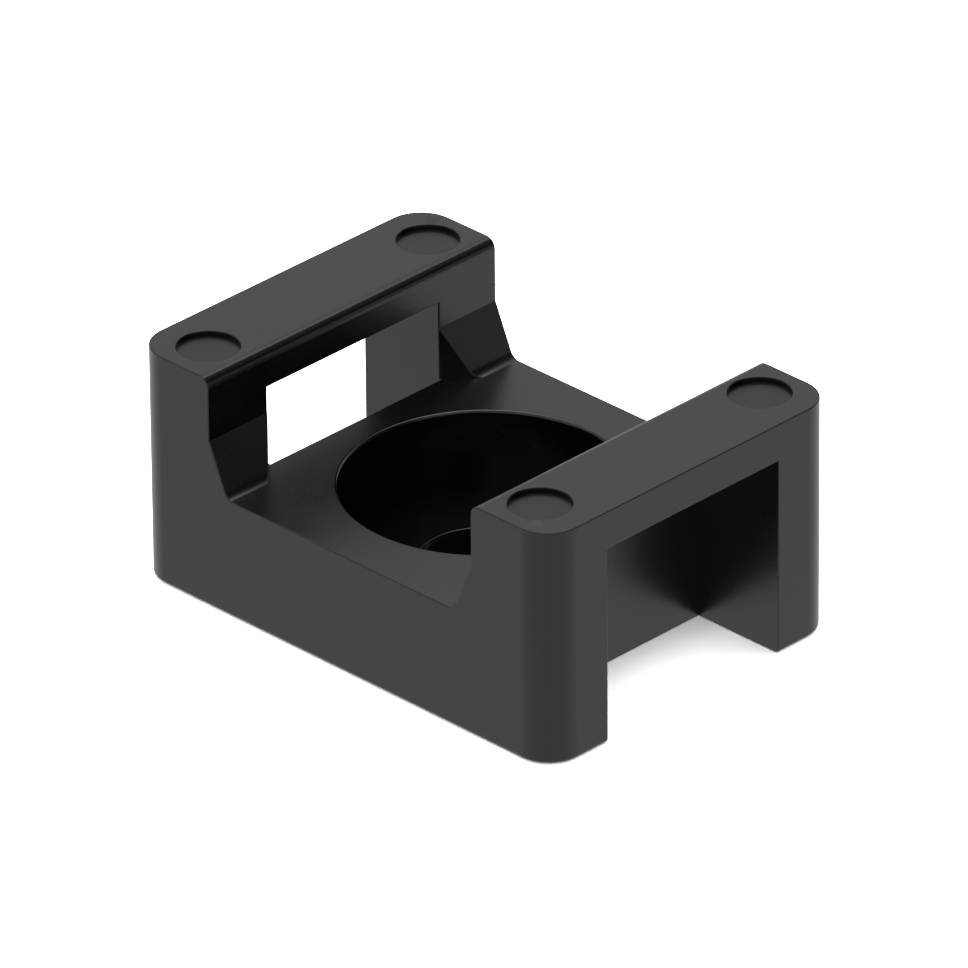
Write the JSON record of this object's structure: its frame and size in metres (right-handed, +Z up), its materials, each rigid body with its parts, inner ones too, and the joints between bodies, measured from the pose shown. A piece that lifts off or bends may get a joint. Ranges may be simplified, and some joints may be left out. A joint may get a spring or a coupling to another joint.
{
  "type": "screw-down cable tie mount",
  "caption": "Low rectangular saddle mount with a counterbored screw hole between two barred end walls, which a cable tie is threaded under to hold a bundle.",
  "frame": {"origin": "centre of the underside, where the screw hole's axis meets the panel", "axes": "+X along the length, from one end wall to the other and along the tie; +Y across the mount, along the bundle; +Z up, away from the panel"},
  "size_m": [0.0222, 0.0156, 0.01],
  "materials": {
    "nylon": "satin black moulded nylon"
  },
  "bodies": {
    "root": {"mount_body": "nylon"}
  },
  "joints": []
}
